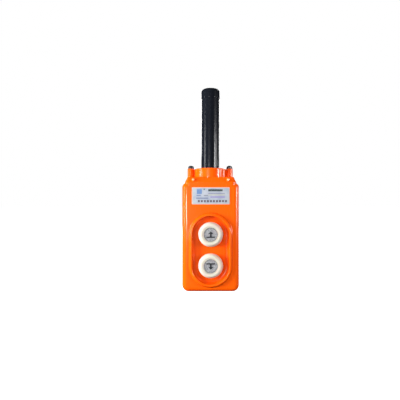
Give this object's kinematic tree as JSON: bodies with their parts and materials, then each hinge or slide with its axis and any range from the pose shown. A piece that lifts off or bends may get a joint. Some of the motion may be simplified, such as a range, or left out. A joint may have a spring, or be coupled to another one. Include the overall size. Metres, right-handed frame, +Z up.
{
  "type": "pendant control station",
  "caption": "Hand-held hoist pendant: a glossy moulded case with a raised guard round its up and down push buttons, white flexible boots, and a rubber cable sleeve on top.",
  "frame": {"origin": "on the case's flat base, directly under the axis of the cable sleeve", "axes": "+Z up along the cable sleeve's axis, -Y out of the face that carries the buttons, +X to the right for someone facing the buttons"},
  "size_m": [0.075, 0.0573, 0.272],
  "materials": {
    "case_orange": "glossy moulded orange ABS",
    "sleeve_rubber": "smooth near-black rubber with a slight sheen",
    "boot_white": "soft warm-white moulded PVC",
    "cap_grey": "satin mid-grey plastic",
    "arrow_ink": "flat near-black print",
    "nameplate_foil": "satin printed foil",
    "zinc_steel": "zinc-plated steel",
    "black_steel": "blackened steel with worn bright edges",
    "spring_steel": "plain spring steel",
    "brass": "plain brass",
    "block_plastic": "dark brown moulded thermoset",
    "gasket_rubber": "dull black rubber"
  },
  "bodies": {
    "case": {"front_case": "case_orange", "rear_cover": "case_orange", "gland_cap": "case_orange", "cover_gasket": "gasket_rubber", "cable_sleeve": "sleeve_rubber", "nameplate": "nameplate_foil", "cable_saddle": "zinc_steel", "earth_screw": "brass", "earth_washer": "brass", "cover_screw_lower_left": "zinc_steel", "cover_screw_lower_right": "zinc_steel", "cover_screw_upper_left": "zinc_steel", "cover_screw_upper_right": "zinc_steel", "gland_screw_left": "black_steel", "gland_washer_left": "black_steel", "threaded_insert_left": "brass", "saddle_screw_left": "zinc_steel", "gland_screw_right": "black_steel", "gland_washer_right": "black_steel", "threaded_insert_right": "brass", "saddle_screw_right": "zinc_steel", "up_boot": "boot_white", "up_return_spring": "spring_steel", "up_contact_block": "block_plastic", "up_block_back_plate": "block_plastic", "up_fixed_contact_left": "brass", "up_terminal_screw_left": "zinc_steel", "up_block_screw_left": "zinc_steel", "up_fixed_contact_right": "brass", "up_terminal_screw_right": "zinc_steel", "up_block_screw_right": "zinc_steel", "down_boot": "boot_white", "down_return_spring": "spring_steel", "down_contact_block": "block_plastic", "down_block_back_plate": "block_plastic", "down_fixed_contact_left": "brass", "down_terminal_screw_left": "zinc_steel", "down_block_screw_left": "zinc_steel", "down_fixed_contact_right": "brass", "down_terminal_screw_right": "zinc_steel", "down_block_screw_right": "zinc_steel"},
    "up_button": {"up_cap": "cap_grey", "up_arrow": "arrow_ink", "up_cap_retainer": "cap_grey", "up_plunger": "block_plastic", "up_clip": "spring_steel", "up_bridge_spring": "spring_steel"},
    "up_bridge": {"up_contact_bridge": "brass"},
    "down_button": {"down_cap": "cap_grey", "down_arrow": "arrow_ink", "down_cap_retainer": "cap_grey", "down_plunger": "block_plastic", "down_clip": "spring_steel", "down_bridge_spring": "spring_steel"},
    "down_bridge": {"down_contact_bridge": "brass"}
  },
  "joints": [
    {"name": "up_press", "type": "slide", "parent": "case", "child": "up_button", "axis": [0, 1, 0], "range_m": [0, 0.004], "stiffness_N_per_m": 900, "springref_m": -0.004, "deforming": ["up_boot", "up_return_spring", "up_bridge_spring"]},
    {"name": "up_contact", "type": "slide", "parent": "case", "child": "up_bridge", "axis": [0, 1, 0], "range_m": [0, 0.0019]},
    {"name": "down_press", "type": "slide", "parent": "case", "child": "down_button", "axis": [0, 1, 0], "range_m": [0, 0.004], "stiffness_N_per_m": 900, "springref_m": -0.004, "deforming": ["down_boot", "down_return_spring", "down_bridge_spring"]},
    {"name": "down_contact", "type": "slide", "parent": "case", "child": "down_bridge", "axis": [0, 1, 0], "range_m": [0, 0.0019]}
  ],
  "couplings": [
    {"joint": "up_contact", "follows": "up_press", "ratio": 0.475},
    {"joint": "down_contact", "follows": "down_press", "ratio": 0.475}
  ]
}
